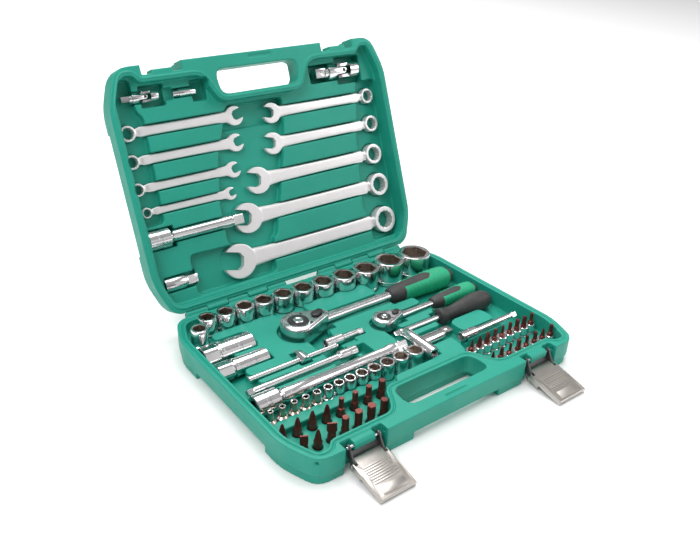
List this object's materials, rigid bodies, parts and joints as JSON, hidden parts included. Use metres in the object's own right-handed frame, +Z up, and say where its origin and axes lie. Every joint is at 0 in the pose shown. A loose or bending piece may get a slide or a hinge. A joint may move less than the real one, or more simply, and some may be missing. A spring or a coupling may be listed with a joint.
{
  "type": "socket wrench set in case",
  "caption": "Hinged carry case, shown open, holding ratchets, sockets, bits, extension bars, adapters, universal joints and combination wrenches in moulded pockets.",
  "frame": {"origin": "centre of the case's underside, at the height of the feet", "axes": "+X along the hinge to the right, +Y from the carry handle to the hinge, +Z up; the lid is stored open at 112 degrees"},
  "size_m": [0.39, 0.4681, 0.299],
  "materials": {
    "case_green": "moulded, fine grain",
    "chrome": "polished",
    "dark_steel": "blackened",
    "steel_pin": "plain",
    "satin_nickel": "satin plated",
    "grip_black": "soft matte",
    "grip_green": "soft matte",
    "bit_red": "dark maroon, satin"
  },
  "bodies": {
    "case_base": {"base_shell": "case_green", "hinge_pins": "steel_pin", "latch_pivot_pins": "steel_pin"},
    "lid": {"lid_shell": "case_green"},
    "latch_link_left": {"latch_link_left": "dark_steel", "lever_pin_left": "steel_pin"},
    "latch_lever_left": {"latch_lever_left": "satin_nickel"},
    "latch_link_right": {"latch_link_right": "dark_steel", "lever_pin_right": "steel_pin"},
    "latch_lever_right": {"latch_lever_right": "satin_nickel"},
    "ratchet_half": {"ratchet_half_body": "chrome", "ratchet_half_cover": "chrome", "ratchet_half_pawl": "dark_steel", "ratchet_half_grip": "grip_black", "ratchet_half_inlay": "grip_green"},
    "ratchet_half_drive": {"ratchet_half_gear": "dark_steel"},
    "ratchet_half_selector": {"ratchet_half_lever": "dark_steel"},
    "ratchet_half_release": {"ratchet_half_button": "chrome"},
    "ratchet_quarter": {"ratchet_quarter_body": "chrome", "ratchet_quarter_cover": "chrome", "ratchet_quarter_pawl": "dark_steel", "ratchet_quarter_grip": "grip_black", "ratchet_quarter_inlay": "grip_green"},
    "ratchet_quarter_drive": {"ratchet_quarter_gear": "dark_steel"},
    "ratchet_quarter_selector": {"ratchet_quarter_lever": "dark_steel"},
    "ratchet_quarter_release": {"ratchet_quarter_button": "chrome"},
    "spinner_handle": {"spinner_shaft": "chrome", "spinner_grip": "grip_black"},
    "tbar_head": {"tbar_head": "chrome"},
    "tbar_rod": {"tbar_rod": "chrome"},
    "extension_half_long": {"extension_half_long": "chrome"},
    "extension_quarter_long": {"extension_quarter_long": "chrome"},
    "extension_quarter_mid": {"extension_quarter_mid": "chrome"},
    "extension_quarter_short": {"extension_quarter_short": "chrome"},
    "tee_adapter": {"tee_adapter": "chrome"},
    "spark_socket_large": {"spark_socket_large": "chrome"},
    "spark_socket_small": {"spark_socket_small": "chrome"},
    "sockets_half": {"sockets_half": "chrome"},
    "sockets_quarter": {"sockets_quarter": "chrome"},
    "screwdriver_bits": {"screwdriver_bits": "bit_red"},
    "bit_sockets": {"bit_sockets": "chrome", "bit_socket_tips": "bit_red"},
    "extension_half_short": {"extension_half_short": "chrome"},
    "half_adapter": {"half_adapter": "chrome"},
    "bit_adapter": {"bit_adapter": "chrome"},
    "wrench_12": {"wrench_12": "chrome"},
    "wrench_11": {"wrench_11": "chrome"},
    "wrench_10": {"wrench_10": "chrome"},
    "wrench_8": {"wrench_8": "chrome"},
    "wrench_13": {"wrench_13": "chrome"},
    "wrench_14": {"wrench_14": "chrome"},
    "wrench_17": {"wrench_17": "chrome"},
    "wrench_19": {"wrench_19": "chrome"},
    "wrench_22": {"wrench_22": "chrome"},
    "ujoint_half_drive": {"ujoint_half_drive": "chrome"},
    "ujoint_half_cross": {"ujoint_half_cross": "dark_steel"},
    "ujoint_half_socket": {"ujoint_half_socket": "chrome"},
    "ujoint_quarter_drive": {"ujoint_quarter_drive": "chrome"},
    "ujoint_quarter_cross": {"ujoint_quarter_cross": "dark_steel"},
    "ujoint_quarter_socket": {"ujoint_quarter_socket": "chrome"}
  },
  "joints": [
    {"name": "lid_hinge", "type": "hinge", "parent": "case_base", "child": "lid", "pos_m": [0, 0.1445, 0.033], "axis": [-1, 0, 0], "range_deg": [-112, 0]},
    {"name": "latch_left_link", "type": "hinge", "parent": "case_base", "child": "latch_link_left", "pos_m": [0, -0.1365, 0.026], "axis": [1, 0, 0], "range_deg": [-148, 0]},
    {"name": "latch_left_lever", "type": "hinge", "parent": "latch_link_left", "child": "latch_lever_left", "pos_m": [0, -0.14572, 0.00936], "axis": [-1, 0, 0], "range_deg": [-224, 0]},
    {"name": "latch_right_link", "type": "hinge", "parent": "case_base", "child": "latch_link_right", "pos_m": [0, -0.1365, 0.026], "axis": [1, 0, 0], "range_deg": [-148, 0]},
    {"name": "latch_right_lever", "type": "hinge", "parent": "latch_link_right", "child": "latch_lever_right", "pos_m": [0, -0.14572, 0.00936], "axis": [-1, 0, 0], "range_deg": [-224, 0]},
    {"name": "ratchet_half_lift", "type": "slide", "parent": "case_base", "child": "ratchet_half", "axis": [0, 0, 1], "range_m": [0, 0.045]},
    {"name": "ratchet_half_drive_spin", "type": "hinge", "parent": "ratchet_half", "child": "ratchet_half_drive", "pos_m": [-0.066, 0.056, 0.026], "axis": [0, 0, 1], "continuous": true},
    {"name": "ratchet_half_selector_turn", "type": "hinge", "parent": "ratchet_half", "child": "ratchet_half_selector", "pos_m": [-0.042, 0.056, 0.026], "axis": [0, 0, 1], "range_deg": [-18, 18]},
    {"name": "ratchet_half_release_push", "type": "slide", "parent": "ratchet_half_drive", "child": "ratchet_half_release", "axis": [0, 0, -1], "range_m": [0, 0.0022], "stiffness_N_per_m": 150, "springref_m": -0.002},
    {"name": "ratchet_quarter_lift", "type": "slide", "parent": "case_base", "child": "ratchet_quarter", "axis": [0, 0, 1], "range_m": [0, 0.045]},
    {"name": "ratchet_quarter_drive_spin", "type": "hinge", "parent": "ratchet_quarter", "child": "ratchet_quarter_drive", "pos_m": [0.028, 0.0135, 0.025], "axis": [0, 0, 1], "continuous": true},
    {"name": "ratchet_quarter_selector_turn", "type": "hinge", "parent": "ratchet_quarter", "child": "ratchet_quarter_selector", "pos_m": [0.04408, 0.0135, 0.025], "axis": [0, 0, 1], "range_deg": [-18, 18]},
    {"name": "ratchet_quarter_release_push", "type": "slide", "parent": "ratchet_quarter_drive", "child": "ratchet_quarter_release", "axis": [0, 0, -1], "range_m": [0, 0.00147], "stiffness_N_per_m": 150, "springref_m": -0.002},
    {"name": "spinner_lift", "type": "slide", "parent": "case_base", "child": "spinner_handle", "axis": [0, 0, 1], "range_m": [0, 0.045]},
    {"name": "tbar_lift", "type": "slide", "parent": "case_base", "child": "tbar_head", "axis": [0, 0, 1], "range_m": [0, 0.045]},
    {"name": "tbar_rod_slide", "type": "slide", "parent": "tbar_head", "child": "tbar_rod", "axis": [1, 0, 0], "range_m": [-0.018, 0.025]},
    {"name": "extension_half_long_lift", "type": "slide", "parent": "case_base", "child": "extension_half_long", "axis": [0, 0, 1], "range_m": [0, 0.045]},
    {"name": "extension_quarter_long_lift", "type": "slide", "parent": "case_base", "child": "extension_quarter_long", "axis": [0, 0, 1], "range_m": [0, 0.045]},
    {"name": "extension_quarter_mid_lift", "type": "slide", "parent": "case_base", "child": "extension_quarter_mid", "axis": [0, 0, 1], "range_m": [0, 0.045]},
    {"name": "extension_quarter_short_lift", "type": "slide", "parent": "case_base", "child": "extension_quarter_short", "axis": [0, 0, 1], "range_m": [0, 0.045]},
    {"name": "tee_adapter_lift", "type": "slide", "parent": "case_base", "child": "tee_adapter", "axis": [0, 0, 1], "range_m": [0, 0.045]},
    {"name": "spark_socket_large_lift", "type": "slide", "parent": "case_base", "child": "spark_socket_large", "axis": [0, 0, 1], "range_m": [0, 0.045]},
    {"name": "spark_socket_small_lift", "type": "slide", "parent": "case_base", "child": "spark_socket_small", "axis": [0, 0, 1], "range_m": [0, 0.045]},
    {"name": "sockets_half_lift", "type": "slide", "parent": "case_base", "child": "sockets_half", "axis": [0, 0, 1], "range_m": [0, 0.045]},
    {"name": "sockets_quarter_lift", "type": "slide", "parent": "case_base", "child": "sockets_quarter", "axis": [0, 0, 1], "range_m": [0, 0.045]},
    {"name": "screwdriver_bits_lift", "type": "slide", "parent": "case_base", "child": "screwdriver_bits", "axis": [0, 0, 1], "range_m": [0, 0.045]},
    {"name": "bit_sockets_lift", "type": "slide", "parent": "case_base", "child": "bit_sockets", "axis": [0, 0, 1], "range_m": [0, 0.045]},
    {"name": "extension_half_short_out", "type": "slide", "parent": "lid", "child": "extension_half_short", "axis": [0, -0.9272, 0.3746], "range_m": [0, 0.03]},
    {"name": "half_adapter_out", "type": "slide", "parent": "lid", "child": "half_adapter", "axis": [0, -0.9272, 0.3746], "range_m": [0, 0.03]},
    {"name": "bit_adapter_out", "type": "slide", "parent": "lid", "child": "bit_adapter", "axis": [0, -0.9272, 0.3746], "range_m": [0, 0.03]},
    {"name": "wrench_12_out", "type": "slide", "parent": "lid", "child": "wrench_12", "axis": [0, -0.9272, 0.3746], "range_m": [0, 0.03]},
    {"name": "wrench_11_out", "type": "slide", "parent": "lid", "child": "wrench_11", "axis": [0, -0.9272, 0.3746], "range_m": [0, 0.03]},
    {"name": "wrench_10_out", "type": "slide", "parent": "lid", "child": "wrench_10", "axis": [0, -0.9272, 0.3746], "range_m": [0, 0.03]},
    {"name": "wrench_8_out", "type": "slide", "parent": "lid", "child": "wrench_8", "axis": [0, -0.9272, 0.3746], "range_m": [0, 0.03]},
    {"name": "wrench_13_out", "type": "slide", "parent": "lid", "child": "wrench_13", "axis": [0, -0.9272, 0.3746], "range_m": [0, 0.03]},
    {"name": "wrench_14_out", "type": "slide", "parent": "lid", "child": "wrench_14", "axis": [0, -0.9272, 0.3746], "range_m": [0, 0.03]},
    {"name": "wrench_17_out", "type": "slide", "parent": "lid", "child": "wrench_17", "axis": [0, -0.9272, 0.3746], "range_m": [0, 0.03]},
    {"name": "wrench_19_out", "type": "slide", "parent": "lid", "child": "wrench_19", "axis": [0, -0.9272, 0.3746], "range_m": [0, 0.03]},
    {"name": "wrench_22_out", "type": "slide", "parent": "lid", "child": "wrench_22", "axis": [0, -0.9272, 0.3746], "range_m": [0, 0.03]},
    {"name": "ujoint_half_out", "type": "slide", "parent": "lid", "child": "ujoint_half_drive", "axis": [0, -0.9272, 0.3746], "range_m": [0, 0.03]},
    {"name": "ujoint_half_swing", "type": "hinge", "parent": "ujoint_half_drive", "child": "ujoint_half_cross", "pos_m": [0.1325, 0.25206, 0.25864], "axis": [0, -0.9272, 0.3746], "range_deg": [-12, 12]},
    {"name": "ujoint_half_bend", "type": "hinge", "parent": "ujoint_half_cross", "child": "ujoint_half_socket", "pos_m": [0.1325, 0.25206, 0.25864], "axis": [0, -0.3746, -0.9272], "range_deg": [0, 35]},
    {"name": "ujoint_quarter_out", "type": "slide", "parent": "lid", "child": "ujoint_quarter_drive", "axis": [0, -0.9272, 0.3746], "range_m": [0, 0.03]},
    {"name": "ujoint_quarter_swing", "type": "hinge", "parent": "ujoint_quarter_drive", "child": "ujoint_quarter_cross", "pos_m": [-0.147, 0.25337, 0.26188], "axis": [0, -0.9272, 0.3746], "range_deg": [-12, 12]},
    {"name": "ujoint_quarter_bend", "type": "hinge", "parent": "ujoint_quarter_cross", "child": "ujoint_quarter_socket", "pos_m": [-0.147, 0.25337, 0.26188], "axis": [0, -0.3746, -0.9272], "range_deg": [0, 35]}
  ],
  "couplings": [
    {"joint": "latch_left_lever", "follows": "latch_left_link", "ratio": 1.5134},
    {"joint": "latch_right_lever", "follows": "latch_right_link", "ratio": 1.5134}
  ]
}
